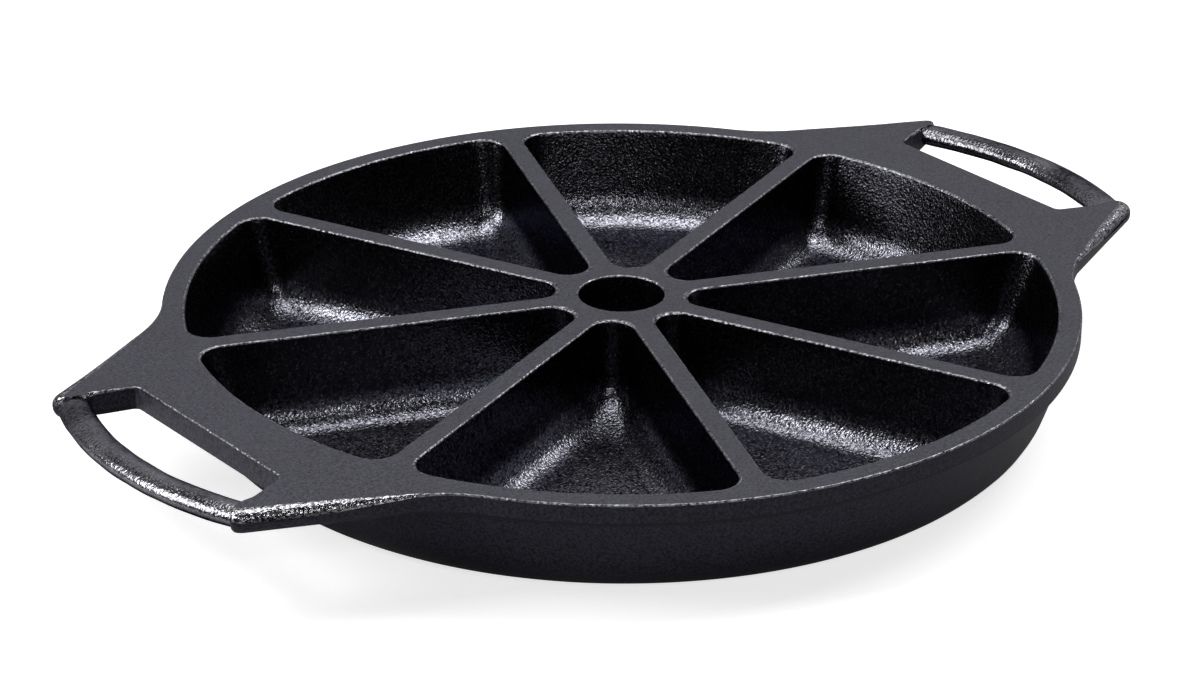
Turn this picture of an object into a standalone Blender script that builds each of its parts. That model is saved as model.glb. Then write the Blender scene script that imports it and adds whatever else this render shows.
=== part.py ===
"""Cast iron wedge pan: a round eight-wedge baking pan with a loop handle at each side.

The real pan is a single iron casting. Here it is divided along flat planes into the regions
a founder or a cook would name: the floor, the bowl wall, the rim, the hub, the ribs between
the wedges, and the two handles with their grips. Neighbours meet face to face.

Metres, +Z up. The origin is the middle of the underside, and the handles lie along X.
"""

import math

import bmesh
import bpy

# Driving dimensions of the bowl
RIM_RADIUS = 0.1225
PAN_HEIGHT = 0.0302
RIM_WIDTH = 0.0061
FLANGE_THICKNESS = 0.0061
FLANGE_OVERHANG = 0.0024
WALL_DRAFT = math.radians(18.4)
BASE_CORNER_RADIUS = 0.0128
FLOOR_THICKNESS = 0.0046
RIM_EDGE_RADIUS = 0.0006

# Driving dimensions of the wedge wells and of the ribs between them
WELL_COUNT = 8
RIB_THICKNESS = 0.0061
RIB_DRAFT = math.radians(3.0)
RIB_FILLET = 0.0080
WALL_FILLET = 0.0110
WELL_CORNER_RADIUS = 0.0068
WELL_CORNER_RADIUS_AT_FLOOR = 0.0050
WELL_TIP_RADIUS = 0.0061
WELL_TIP_RADIUS_AT_FLOOR = 0.0050
LIP_RADIUS = 0.0005

# Driving dimensions of the round hollow in the hub
HUB_HOLE_RADIUS = 0.0115
HUB_HOLE_DRAFT = math.radians(3.0)
HUB_HOLE_FILLET = 0.0030

# Driving dimensions of the handles
HANDLE_REACH = 0.0370
WEB_WIDTH = 0.0098
SHOULDER_RADIUS = 0.0360
EAR_SETBACK = 0.0125
EAR_HALF_SPAN = 0.0443
EAR_ANGLE = math.radians(24.5)
EAR_CORNER_RADIUS = 0.0050
EAR_EDGE_START = 0.1040
EAR_TOP_EDGE_RADIUS = 0.0028
EAR_TOP_EDGE_GROWTH = 0.0390
EAR_LOWER_EDGE_RADIUS = 0.0018
EAR_LOWER_EDGE_GROWTH = 0.0090
EAR_MARGIN = 0.0010
SLOT_HALF_LENGTH = 0.0325
SLOT_CORNER_RADIUS = 0.0020
GRIP_WIDTH = 0.0090
GRIP_THICKNESS = 0.0060
GRIP_DROP = 0.0003
GRIP_ARC_RADIUS = 0.0980
GRIP_HALF_ANGLE = math.radians(22.5)

# Where the casting is divided into regions
FOOT_HEIGHT = 0.0025
HUB_SLICE_MARGIN = 0.0008
WALL_SLICE_MARGIN = 0.0020

# How far a cutting form runs past the face it opens, or past a rounded edge beside it
OVERCUT = 0.0020
LONG_OVERCUT = 0.0250

# Facets of the round shapes, and the edge angle above which shading stays sharp
BOWL_STEPS = 96
HOLE_STEPS = 32
FILLET_STEPS = 5
EDGE_STEPS = 3
TIP_STEPS = 6
CORNER_STEPS = 5
WALL_STEPS = 8
RIM_ARC_STEPS = 15
SHOULDER_STEPS = 6
EAR_CORNER_STEPS = 5
OUTER_ARC_STEPS = 6
GRIP_STEPS = 14
GRIP_SECTION_STEPS = 20
LIP_STEPS = 2
SHARP_ANGLE = math.radians(35)

# Sizes that follow from the driving dimensions
WELL_DEPTH = PAN_HEIGHT - FLOOR_THICKNESS
WELL_OUTER_RADIUS = RIM_RADIUS - RIM_WIDTH
FLANGE_BOTTOM = PAN_HEIGHT - FLANGE_THICKNESS
BOWL_TOP_RADIUS = RIM_RADIUS - FLANGE_OVERHANG
SLICE_HEIGHT = FLOOR_THICKNESS + FOOT_HEIGHT
SLICE_DEPTH = WELL_DEPTH - FOOT_HEIGHT
HALF_SECTOR = math.pi / WELL_COUNT
GRIP_END_X = RIM_RADIUS + HANDLE_REACH
GRIP_CENTRE_X = GRIP_END_X - GRIP_WIDTH / 2 - GRIP_ARC_RADIUS
SLOT_EDGE_X = RIM_RADIUS + WEB_WIDTH

# Colour, roughness and metallic value of the seasoned iron in each region
GROUND_TOP = ((0.085, 0.085, 0.098, 1.0), 0.55, 0.35)
CAST_OUTSIDE = ((0.016, 0.016, 0.020, 1.0), 0.45, 0.35)
OILED_GRIP = ((0.014, 0.014, 0.016, 1.0), 0.28, 0.40)


def clear_scene():
    for item in list(bpy.data.objects):
        bpy.data.objects.remove(item, do_unlink=True)


def new_collection(name):
    collection = bpy.data.collections.new(name)
    bpy.context.scene.collection.children.link(collection)
    return collection


def iron(name, finish):
    """A Principled material of one colour, roughness and metallic value."""
    colour, roughness, metallic = finish
    material = bpy.data.materials.new(name)
    material.use_nodes = True
    shader = material.node_tree.nodes["Principled BSDF"]
    shader.inputs["Base Color"].default_value = colour
    shader.inputs["Roughness"].default_value = roughness
    shader.inputs["Metallic"].default_value = metallic
    return material


def object_from(bm, name, collection):
    mesh = bpy.data.meshes.new(name)
    bmesh.ops.recalc_face_normals(bm, faces=bm.faces)
    bm.to_mesh(mesh)
    bm.free()
    item = bpy.data.objects.new(name, mesh)
    collection.objects.link(item)
    return item


def hide_as_cutter(item):
    item.hide_render = True
    item.display_type = "WIRE"
    return item


def finish_part(item, finish):
    item.data.materials.append(iron(item.name + "_iron", finish))
    item.data.shade_smooth()
    item.data.set_sharp_from_angle(angle=SHARP_ANGLE)


def cut(item, *cutters, operation="DIFFERENCE"):
    for cutter in cutters:
        modifier = item.modifiers.new("cut_" + cutter.name, "BOOLEAN")
        modifier.operation = operation
        modifier.object = cutter
        modifier.solver = "EXACT"


def loft(name, rings, collection):
    """A closed solid through rings of equally many points, capped at both ends."""
    bm = bmesh.new()
    rows = [[bm.verts.new(point) for point in ring] for ring in rings]
    for upper, lower in zip(rows, rows[1:]):
        for i in range(len(upper)):
            j = (i + 1) % len(upper)
            bm.faces.new((upper[i], upper[j], lower[j], lower[i]))
    bm.faces.new(rows[0])
    bm.faces.new(rows[-1])
    return object_from(bm, name, collection)


def prism(name, outline, low, high, collection):
    """A straight block over a flat outline."""
    rings = [[(x, y, z) for x, y in outline] for z in (high, low)]
    return loft(name, rings, collection)


def turned(name, profile, steps, collection):
    """A solid of revolution: the profile runs down its outer side and back to the axis."""
    bm = bmesh.new()
    verts = [bm.verts.new((radius, 0.0, z)) for radius, z in profile]
    for first, second in zip(verts, verts[1:]):
        bm.edges.new((first, second))
    mesh = bpy.data.meshes.new(name)
    bm.to_mesh(mesh)
    bm.free()
    item = bpy.data.objects.new(name, mesh)
    collection.objects.link(item)
    screw = item.modifiers.new("turn", "SCREW")
    screw.steps = steps
    screw.render_steps = steps
    screw.use_merge_vertices = True
    screw.merge_threshold = 0.00001
    screw.use_smooth_shade = True
    return item


def arc(centre, radius, start, end, steps):
    """Points along an arc, both ends included."""
    points = []
    for i in range(steps + 1):
        angle = start + (end - start) * i / steps
        points.append((centre[0] + radius * math.cos(angle), centre[1] + radius * math.sin(angle)))
    return points


def along(point, direction, distance):
    return (point[0] + direction[0] * distance, point[1] + direction[1] * distance)


def line_meets_circle(point, direction, centre, radius):
    """The last point along a line's direction where it crosses a circle."""
    offset = (point[0] - centre[0], point[1] - centre[1])
    half_b = offset[0] * direction[0] + offset[1] * direction[1]
    c = offset[0] ** 2 + offset[1] ** 2 - radius**2
    return along(point, direction, -half_b + math.sqrt(half_b**2 - c))


def bearing(centre, point):
    return math.atan2(point[1] - centre[1], point[0] - centre[0])


def drafted_inset(depth, draft, fillet, full_depth):
    """How far a wall has come in from its top edge at a depth.

    The wall leans in by its draft, runs into the floor through a fillet, and opens out at the
    top through a small rounded lip.
    """
    centre_depth = full_depth - fillet
    centre_inset = (fillet + centre_depth * math.sin(draft)) / math.cos(draft)
    if depth > centre_depth + fillet * math.sin(draft):
        drop = min(depth - centre_depth, fillet)
        return centre_inset - math.sqrt(fillet**2 - drop**2)
    inset = depth * math.tan(draft)
    if depth < LIP_RADIUS:
        inset -= LIP_RADIUS - math.sqrt(LIP_RADIUS**2 - (LIP_RADIUS - depth) ** 2)
    return inset


def core_depths(fillet, draft, full_depth):
    """Depths at which a core's section is taken: the lip, then the fillet down to the floor."""
    depths = []
    for i in range(LIP_STEPS + 1):
        depths.append(LIP_RADIUS * (1 - math.cos(math.pi / 2 * i / LIP_STEPS)))
    for i in range(FILLET_STEPS + 1):
        tilt = (math.pi / 2 - draft) * (1 - i / FILLET_STEPS)
        depths.append(full_depth - fillet * (1 - math.cos(tilt)))
    return depths


def well_outline(depth):
    """Outline of the wedge well about the X axis at a depth below the top face.

    Two straight sides run parallel to the ribs, the outer side is an arc about the pan's
    middle, and the tip and the two outer corners are rounded.
    """
    share = depth / WELL_DEPTH
    side = RIB_THICKNESS / 2 + drafted_inset(depth, RIB_DRAFT, RIB_FILLET, WELL_DEPTH)
    outer = WELL_OUTER_RADIUS - drafted_inset(depth, WALL_DRAFT, WALL_FILLET, WELL_DEPTH)
    corner = WELL_CORNER_RADIUS + (WELL_CORNER_RADIUS_AT_FLOOR - WELL_CORNER_RADIUS) * share
    tip = WELL_TIP_RADIUS + (WELL_TIP_RADIUS_AT_FLOOR - WELL_TIP_RADIUS) * share
    across = math.pi / 2 - HALF_SECTOR
    tip_centre = ((side + tip) / math.sin(HALF_SECTOR), 0.0)
    reach = math.sqrt((outer - corner) ** 2 - (side + corner) ** 2)
    swing = math.atan2(side + corner, reach)
    turn = HALF_SECTOR - swing
    corner_low = ((outer - corner) * math.cos(turn), -(outer - corner) * math.sin(turn))
    corner_high = (corner_low[0], -corner_low[1])
    points = arc(tip_centre, tip, math.pi - across, math.pi + across, TIP_STEPS)
    points += arc(corner_low, corner, -across - 2 * HALF_SECTOR, -turn, CORNER_STEPS)
    points += arc((0.0, 0.0), outer, -turn, turn, WALL_STEPS)[1:-1]
    points += arc(corner_high, corner, turn, across + 2 * HALF_SECTOR, CORNER_STEPS)
    return points


def well_tip_radius(depth):
    """Distance from the pan's middle to the nearest point of a well at a depth."""
    return min(math.hypot(x, y) for x, y in well_outline(depth))


def well_cores(collection):
    """The eight forms that leave the wedge wells, all turned copies of one form."""
    depths = core_depths(WALL_FILLET, WALL_DRAFT, WELL_DEPTH)
    rings = [[(x, y, PAN_HEIGHT + OVERCUT) for x, y in well_outline(0.0)]]
    for depth in depths:
        rings.append([(x, y, PAN_HEIGHT - depth) for x, y in well_outline(depth)])
    first = hide_as_cutter(loft("well_core_1", rings, collection))
    cores = [first]
    for i in range(1, WELL_COUNT):
        core = bpy.data.objects.new(f"well_core_{i + 1}", first.data)
        core.rotation_euler.z = 2 * HALF_SECTOR * i
        collection.objects.link(hide_as_cutter(core))
        cores.append(core)
    return cores


def hub_core(collection):
    """The turned form that leaves the round hollow in the hub."""
    top_radius = HUB_HOLE_RADIUS + LIP_RADIUS
    profile = [(0.0, PAN_HEIGHT + OVERCUT), (top_radius, PAN_HEIGHT + OVERCUT)]
    for depth in core_depths(HUB_HOLE_FILLET, HUB_HOLE_DRAFT, WELL_DEPTH):
        inset = drafted_inset(depth, HUB_HOLE_DRAFT, HUB_HOLE_FILLET, WELL_DEPTH)
        profile.append((HUB_HOLE_RADIUS - inset, PAN_HEIGHT - depth))
    profile.append((0.0, FLOOR_THICKNESS))
    return hide_as_cutter(turned("hub_core", profile, HOLE_STEPS, collection))


def slice_corner(radius, index):
    """Corner of a slicing polygon: whole indices lie on the wells' middle lines, halves on the ribs'."""
    angle = 2 * HALF_SECTOR * index
    return (radius * math.cos(angle), radius * math.sin(angle))


def hub_slice_outline():
    """Eight corners, one in the tip of each well."""
    return [slice_corner(hub_slice_radius(), i) for i in range(WELL_COUNT)]


def wall_slice_outline():
    """Sixteen corners, one on the middle line of each well and each rib."""
    return [slice_corner(wall_slice_radius(), i / 2) for i in range(2 * WELL_COUNT)]


def hub_slice_radius():
    return well_tip_radius(SLICE_DEPTH) + HUB_SLICE_MARGIN


def wall_slice_radius():
    outer = WELL_OUTER_RADIUS - drafted_inset(SLICE_DEPTH, WALL_DRAFT, WALL_FILLET, WELL_DEPTH)
    return outer - WALL_SLICE_MARGIN


def skin_corner_centre():
    """Centre of the rounded corner between the bowl's outer wall and its underside."""
    wall_radius = BOWL_TOP_RADIUS - (FLANGE_BOTTOM - BASE_CORNER_RADIUS) * math.tan(WALL_DRAFT)
    return (wall_radius - BASE_CORNER_RADIUS / math.cos(WALL_DRAFT), BASE_CORNER_RADIUS)


def skin_radius(z):
    """Radius of the bowl's outer surface at a height."""
    centre = skin_corner_centre()
    if z >= centre[1] - BASE_CORNER_RADIUS * math.sin(WALL_DRAFT):
        return BOWL_TOP_RADIUS - (FLANGE_BOTTOM - z) * math.tan(WALL_DRAFT)
    return centre[0] + math.sqrt(BASE_CORNER_RADIUS**2 - (centre[1] - z) ** 2)


def skin_heights(high, low):
    """Heights between two flat cuts at which the bowl's outer surface bends, both cuts included."""
    heights = [high]
    for i in range(FILLET_STEPS + 1):
        tilt = (math.pi / 2 - WALL_DRAFT) * (1 - i / FILLET_STEPS)
        z = BASE_CORNER_RADIUS * (1 - math.cos(tilt))
        if low < z < high:
            heights.append(z)
    heights.append(low)
    return heights


def skin_profile(high, low):
    """Points down the bowl's outer surface between two heights, closed to the axis."""
    return [(0.0, high)] + [(skin_radius(z), z) for z in skin_heights(high, low)] + [(0.0, low)]


def base_floor(collection, cores, hub_hollow):
    """The pan's floor, up to just above the wells' own floors."""
    item = turned("base_floor", skin_profile(SLICE_HEIGHT, 0.0), BOWL_STEPS, collection)
    cut(item, *cores, hub_hollow)
    finish_part(item, CAST_OUTSIDE)
    return item


def bowl_wall(index, collection, cores):
    """An eighth of the leaning wall between the floor and the flange, with the end of one rib.

    It runs from the middle line of one well to that of the next.
    """
    start = 2 * HALF_SECTOR * index
    inner = [slice_corner(wall_slice_radius(), index + share) for share in (1.0, 0.5, 0.0)]
    rings = []
    for z in skin_heights(FLANGE_BOTTOM, SLICE_HEIGHT):
        outer = arc((0.0, 0.0), skin_radius(z), start, start + 2 * HALF_SECTOR, BOWL_STEPS // WELL_COUNT)
        rings.append([(x, y, z) for x, y in inner + outer])
    item = loft(f"bowl_wall_{index + 1}", rings, collection)
    cut(item, cores[index], cores[(index + 1) % WELL_COUNT])
    finish_part(item, CAST_OUTSIDE)
    return item


def ear_line():
    """A point on the ear's straight outer edge, its direction and its outward normal."""
    point = (GRIP_END_X - EAR_SETBACK, EAR_HALF_SPAN)
    direction = (math.cos(EAR_ANGLE), -math.sin(EAR_ANGLE))
    normal = (math.sin(EAR_ANGLE), math.cos(EAR_ANGLE))
    return point, direction, normal


def flange_quarter():
    """A quarter of the flange's outline: rim, hollow shoulder, ear and the handle's outer arc."""
    point, direction, normal = ear_line()
    outer_radius = GRIP_ARC_RADIUS + GRIP_WIDTH / 2 + EAR_MARGIN
    grip_centre = (GRIP_CENTRE_X, 0.0)
    shoulder = line_meets_circle(
        along(point, normal, SHOULDER_RADIUS), direction, (0.0, 0.0), RIM_RADIUS + SHOULDER_RADIUS
    )
    corner = line_meets_circle(
        along(point, normal, -EAR_CORNER_RADIUS), direction, grip_centre, outer_radius - EAR_CORNER_RADIUS
    )
    rim_end = bearing((0.0, 0.0), shoulder)
    corner_end = bearing(grip_centre, corner)
    up = math.pi / 2
    points = arc((0.0, 0.0), RIM_RADIUS, up, rim_end, RIM_ARC_STEPS)
    points += arc(shoulder, SHOULDER_RADIUS, rim_end + math.pi, 3 * up - EAR_ANGLE, SHOULDER_STEPS)[1:]
    points += arc(corner, EAR_CORNER_RADIUS, up - EAR_ANGLE, corner_end, EAR_CORNER_STEPS)
    points += arc(grip_centre, outer_radius, corner_end, 0.0, OUTER_ARC_STEPS)[1:]
    return points


def flange_outline():
    """The whole outline of the rim and both handles, from its quarter."""
    quarter = flange_quarter()
    right = quarter + [(x, -y) for x, y in reversed(quarter[:-1])]
    left = [(-x, -y) for x, y in right[1:-1]]
    return right + left


def edge_radius(x, on_ear, growth):
    """Radius of the flange's rounded edge: small round the rim, growing to its size on the ear."""
    share = min(max((abs(x) - EAR_EDGE_START) / growth, 0.0), 1.0)
    ease = share * share * (3 - 2 * share)
    return RIM_EDGE_RADIUS + (on_ear - RIM_EDGE_RADIUS) * ease


def edge_ring(outline, tilt, face_z, inward, on_ear, growth):
    """One ring of the rounded edge, a quarter turn of which joins a flat face to the side.

    At no tilt the ring lies in the flat face at face_z, one radius in from the outline; at a
    quarter turn it lies on the outline, one radius inward along Z.
    """
    ring = []
    for k, (x, y) in enumerate(outline):
        before = outline[k - 1]
        after = outline[(k + 1) % len(outline)]
        run = (after[0] - before[0], after[1] - before[1])
        radius = edge_radius(x, on_ear, growth)
        inset = radius * (1 - math.sin(tilt)) / math.hypot(*run)
        z = face_z + inward * radius * (1 - math.cos(tilt))
        ring.append((x + run[1] * inset, y - run[0] * inset, z))
    return ring


def flange_rings():
    """Rings down the flange's rounded edge, top to bottom."""
    outline = flange_outline()
    tilts = [math.pi / 2 * i / EDGE_STEPS for i in range(EDGE_STEPS + 1)]
    rows = []
    for tilt in tilts:
        rows.append(edge_ring(outline, tilt, PAN_HEIGHT, -1, EAR_TOP_EDGE_RADIUS, EAR_TOP_EDGE_GROWTH))
    for tilt in reversed(tilts):
        rows.append(edge_ring(outline, tilt, FLANGE_BOTTOM, 1, EAR_LOWER_EDGE_RADIUS, EAR_LOWER_EDGE_GROWTH))
    return rows


def handle_block(name, side, collection):
    """The space beyond the rim on one side, which divides a handle from the rim."""
    x_near = side * RIM_RADIUS
    x_far = side * (GRIP_END_X + LONG_OVERCUT)
    outline = [(x_near, -RIM_RADIUS), (x_far, -RIM_RADIUS), (x_far, RIM_RADIUS), (x_near, RIM_RADIUS)]
    return hide_as_cutter(prism(name, outline, -OVERCUT, PAN_HEIGHT + OVERCUT, collection))


def slot_core(name, side, collection):
    """The finger slot and, past the ears' end faces, the space that the grip fills."""
    inner_radius = GRIP_ARC_RADIUS - GRIP_WIDTH / 2 - EAR_MARGIN / 2
    ray = (math.cos(GRIP_HALF_ANGLE), math.sin(GRIP_HALF_ANGLE))
    ear_end = along((GRIP_CENTRE_X, 0.0), ray, inner_radius)
    beyond = along((GRIP_CENTRE_X, 0.0), ray, GRIP_ARC_RADIUS + LONG_OVERCUT)
    slope = math.atan2(ear_end[1] - SLOT_HALF_LENGTH, ear_end[0] - SLOT_EDGE_X)
    setback = SLOT_CORNER_RADIUS * math.tan((math.pi / 2 - slope) / 2)
    centre = (SLOT_EDGE_X + SLOT_CORNER_RADIUS, SLOT_HALF_LENGTH - setback)
    corner = arc(centre, SLOT_CORNER_RADIUS, math.pi, math.pi / 2 + slope, CORNER_STEPS)
    half = corner + [ear_end, beyond]
    outline = [(side * x, y) for x, y in half + [(x, -y) for x, y in reversed(half)]]
    low = FLANGE_BOTTOM - OVERCUT
    return hide_as_cutter(prism(name, outline, low, PAN_HEIGHT + OVERCUT, collection))


def rim_band(collection, cores, middle, blocks):
    """The flat-topped flange round the bowl, with the shoulders of both handles."""
    item = loft("rim_band", flange_rings(), collection)
    cut(item, middle, *cores, *blocks)
    finish_part(item, GROUND_TOP)
    return item


def handle_web(name, collection, block, slot):
    """The plate that carries a handle out from the rim to its two ears."""
    item = loft(name, flange_rings(), collection)
    cut(item, block, operation="INTERSECT")
    cut(item, slot)
    finish_part(item, GROUND_TOP)
    return item


def grip(name, side, collection):
    """The rounded bar between the ears, swung along an arc."""
    bm = bmesh.new()
    middle_z = PAN_HEIGHT - GRIP_DROP - GRIP_THICKNESS / 2
    section = []
    for i in range(GRIP_SECTION_STEPS):
        angle = 2 * math.pi * i / GRIP_SECTION_STEPS
        out = GRIP_ARC_RADIUS + GRIP_WIDTH / 2 * math.cos(angle)
        x = GRIP_CENTRE_X + out * math.cos(GRIP_HALF_ANGLE)
        y = -out * math.sin(GRIP_HALF_ANGLE)
        section.append(bm.verts.new((x, y, middle_z + GRIP_THICKNESS / 2 * math.sin(angle))))
    face = bm.faces.new(section)
    bmesh.ops.spin(
        bm,
        geom=[face],
        cent=(GRIP_CENTRE_X, 0.0, 0.0),
        axis=(0.0, 0.0, 1.0),
        angle=2 * GRIP_HALF_ANGLE,
        steps=GRIP_STEPS,
    )
    for vert in bm.verts:
        vert.co.x *= side
    item = object_from(bm, name, collection)
    finish_part(item, OILED_GRIP)
    return item


def hub(collection, cores, hub_hollow):
    """The round boss in the middle, with the roots of the ribs."""
    item = prism("hub", hub_slice_outline(), SLICE_HEIGHT, PAN_HEIGHT, collection)
    cut(item, *cores, hub_hollow)
    finish_part(item, GROUND_TOP)
    return item


def rib(index, collection, cores):
    """The wall between two wells, from the hub to the bowl wall."""
    after = (index + 1) % WELL_COUNT
    inner = hub_slice_radius()
    outer = wall_slice_radius()
    outline = [
        slice_corner(inner, index),
        slice_corner(outer, index),
        slice_corner(outer, index + 0.5),
        slice_corner(outer, after),
        slice_corner(inner, after),
    ]
    item = prism(f"rib_{index + 1}", outline, SLICE_HEIGHT, PAN_HEIGHT, collection)
    cut(item, cores[index], cores[after])
    finish_part(item, GROUND_TOP)
    return item


def build():
    clear_scene()
    parts = new_collection("wedge_pan")
    forms = new_collection("cutting_forms")
    cores = well_cores(forms)
    hub_hollow = hub_core(forms)
    middle = prism("middle_block", wall_slice_outline(), -OVERCUT, PAN_HEIGHT + OVERCUT, forms)
    hide_as_cutter(middle)
    base_floor(parts, cores, hub_hollow)
    hub(parts, cores, hub_hollow)
    for index in range(WELL_COUNT):
        rib(index, parts, cores)
        bowl_wall(index, parts, cores)
    blocks = []
    for label, side in (("right", 1), ("left", -1)):
        block = handle_block(f"{label}_handle_space", side, forms)
        slot = slot_core(f"{label}_slot_core", side, forms)
        handle_web(f"handle_web_{label}", parts, block, slot)
        grip(f"grip_{label}", side, parts)
        blocks.append(block)
    rim_band(parts, cores, middle, blocks)


build()
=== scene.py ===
"""Looks and studio of the cast iron wedge pan.

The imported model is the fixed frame. The pan is one iron casting, so a single closed mesh stands for
all of its regions but the two grip bars, which are meshes of their own that run into the ears. Every
surface is a function of two parameters on a numpy grid. Metres, +Z up, the handles along X.
"""

import logging
import math
from dataclasses import dataclass, field
from enum import Enum
from typing import NamedTuple

import bpy
import numpy as np
import numpy.typing as npt
from mathutils import Matrix, Vector
from mathutils.geometry import delaunay_2d_cdt


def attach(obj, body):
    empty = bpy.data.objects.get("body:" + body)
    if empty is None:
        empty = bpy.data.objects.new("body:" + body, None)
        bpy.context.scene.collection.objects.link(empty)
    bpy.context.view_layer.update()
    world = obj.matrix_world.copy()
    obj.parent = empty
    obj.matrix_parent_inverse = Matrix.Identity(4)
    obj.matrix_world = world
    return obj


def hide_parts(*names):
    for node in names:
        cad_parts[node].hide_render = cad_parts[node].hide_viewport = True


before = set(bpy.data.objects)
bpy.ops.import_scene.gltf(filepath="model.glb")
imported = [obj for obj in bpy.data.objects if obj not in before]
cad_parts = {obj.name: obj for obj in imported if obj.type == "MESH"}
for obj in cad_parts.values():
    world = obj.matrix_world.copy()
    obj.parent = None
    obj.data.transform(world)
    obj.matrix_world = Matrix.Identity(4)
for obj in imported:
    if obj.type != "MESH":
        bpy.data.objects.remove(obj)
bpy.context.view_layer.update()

log = logging.getLogger("wedge_pan")

Floats = npt.NDArray[np.float64]
Ints = npt.NDArray[np.int64]
Flags = npt.NDArray[np.bool_]
Colour = tuple[float, float, float]
Spot = tuple[float, float, float]
Traits = tuple[float, float, float, float, float]
Socket = bpy.types.NodeSocket
Sockets = bpy.types.NodeOutputs
Node = bpy.types.Node
Tree = bpy.types.NodeTree
Material = bpy.types.Material

QUARTER = math.pi / 2.0
UP = Vector((0.0, 0.0, 1.0))
WHITE = (1.0, 1.0, 1.0, 1.0)
LIP_COUNT = 5  # rings round the lip of every hollow
FLAT_SCALE = 1000.0  # flat fills are triangulated in millimetres
SAME_SPOT = 1e-6  # gap at which the triangulation takes two points for one, in millimetres
COAT_RANGE = (0.3, 0.7)  # noise values that make the thinnest and the thickest coat
TINY = 1e-12  # keeps a length of zero from dividing


class Zone(Enum):
    """Which finish a face of the casting carries; the value is its material index."""

    GROUND_TOP = 0
    WELL = 1
    SKIN = 2
    EDGE = 3
    EAR = 4


class Side(Enum):
    """Which handle a grip belongs to; the value is its direction along X."""

    RIGHT = 1
    LEFT = -1


def polar(angle: Floats) -> Floats:
    """Unit vectors (cos, sin) at the given angles, shape (..., 2)."""
    return np.stack([np.cos(angle), np.sin(angle)], axis=-1)


def blend(first: Floats, last: Floats, share: Floats) -> Floats:
    """A straight blend from the first value at share 0 to the last at share 1."""
    return first + np.subtract(last, first) * share


def smooth_step(share: Floats) -> Floats:
    """Ease from 0 to 1 with flat ends: three times the square less twice the cube."""
    held = np.clip(share, 0.0, 1.0)
    return held * held * (3.0 - 2.0 * held)


def arc(centre: tuple[float, float], radius: float, start: float, end: float, count: int) -> Floats:
    """Points spaced evenly in angle along an arc: the centre plus the radius times (cos, sin)."""
    return np.array(centre) + radius * polar(np.linspace(start, end, count))


def moving_arc(middle: Floats, radius: Floats, start: Floats, end: Floats, count: int) -> Floats:
    """Arcs whose centre, radius and angles change from ring to ring, shape (rings, count, 2)."""
    angle = blend(start[:, None], end[:, None], np.linspace(0.0, 1.0, count))
    return middle[:, None] + radius[:, None, None] * polar(angle)


def between(first: Floats, last: Floats, count: int) -> Floats:
    """Straight runs between two rows of points, their ends left out, shape (rings, count, 2)."""
    share = np.linspace(0.0, 1.0, count + 2)[1:-1, None]
    return blend(first[:, None], last[:, None], share)


def lifted(flat: Floats, height: Floats) -> Floats:
    """Plane points, shape (rings, points, 2), with a height for each ring or for each point."""
    return np.concatenate([flat, np.broadcast_to(height[..., None], (*flat.shape[:2], 1))], axis=-1)


def turned(profile: Floats, angle: Floats) -> Floats:
    """A profile of radii and heights carried round the Z axis, shape (rings, angles, 3)."""
    return lifted(profile[:, :1, None] * polar(angle), profile[:, 1:])


def line_meets_circle(point: Floats, direction: Floats, centre: Floats, radius: float) -> Floats:
    """The last point where a line, with a unit direction, crosses a circle: a quadratic in its distance."""
    offset, half = point - centre, (point - centre) @ direction
    return point + direction * (math.sqrt(half**2 - offset @ offset + radius**2) - half)


def loop_outward(points: Floats) -> Floats:
    """Unit normals of closed plane loops: the run past each point, turned a quarter to the left."""
    run = np.roll(points, -1, axis=-2) - np.roll(points, 1, axis=-2)
    return (run / np.linalg.norm(run, axis=-1, keepdims=True))[..., ::-1] * [-1.0, 1.0]


def grid_normals(points: Floats) -> Floats:
    """Unit normals of a grid of closed rings: the step round it crossed with the step down it."""
    normal = np.cross(np.roll(points, -1, axis=1) - np.roll(points, 1, axis=1), np.gradient(points, axis=0))
    return normal / np.maximum(np.linalg.norm(normal, axis=2, keepdims=True), TINY)


def crossings(places: Floats, start: Floats, end: Floats) -> Ints:
    """How many edges a ray along +X from each place crosses.

    Args:
        places: Points, shape (n, 2).
        start: First ends of the edges, shape (m, 2).
        end: Second ends of the edges, shape (m, 2).

    Returns:
        Counts, shape (n,).
    """
    px, py = places[:, :1], places[:, 1:]
    x1, y1 = start.T
    x2, y2 = end.T
    spans = (y1 > py) != (y2 > py)
    rise = np.where(y2 == y1, 1.0, y2 - y1)
    return np.sum(spans & (px < x1 + (py - y1) * (x2 - x1) / rise), axis=1)


@dataclass(frozen=True)
class MouldWaves:
    """Slight swells that a sand mould leaves: a sum of plane sine waves in seeded directions."""

    seed: int
    rms: float
    shortest: float
    longest: float
    count: int = 22

    def swell(self, points: Floats, turn: int = 0) -> Floats:
        """Height of the waves, whose lengths are spread evenly in their logarithm.

        Args:
            points: Where the swell is wanted, shape (..., 3).
            turn: Added to the seed, so that alike pieces differ.

        Returns:
            Height at each point, shape (...).
        """
        dice = np.random.default_rng(self.seed + turn)
        way = dice.normal(size=(self.count, 3))
        way /= np.linalg.norm(way, axis=1, keepdims=True)
        length = np.exp(dice.uniform(math.log(self.shortest), math.log(self.longest), self.count))
        phase = dice.uniform(0.0, 2.0 * np.pi, self.count)
        height = length / np.sqrt(np.sum(length**2) / 2.0) * self.rms
        return np.sin(points @ (way / length[:, None] * 2.0 * np.pi).T + phase) @ height


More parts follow.
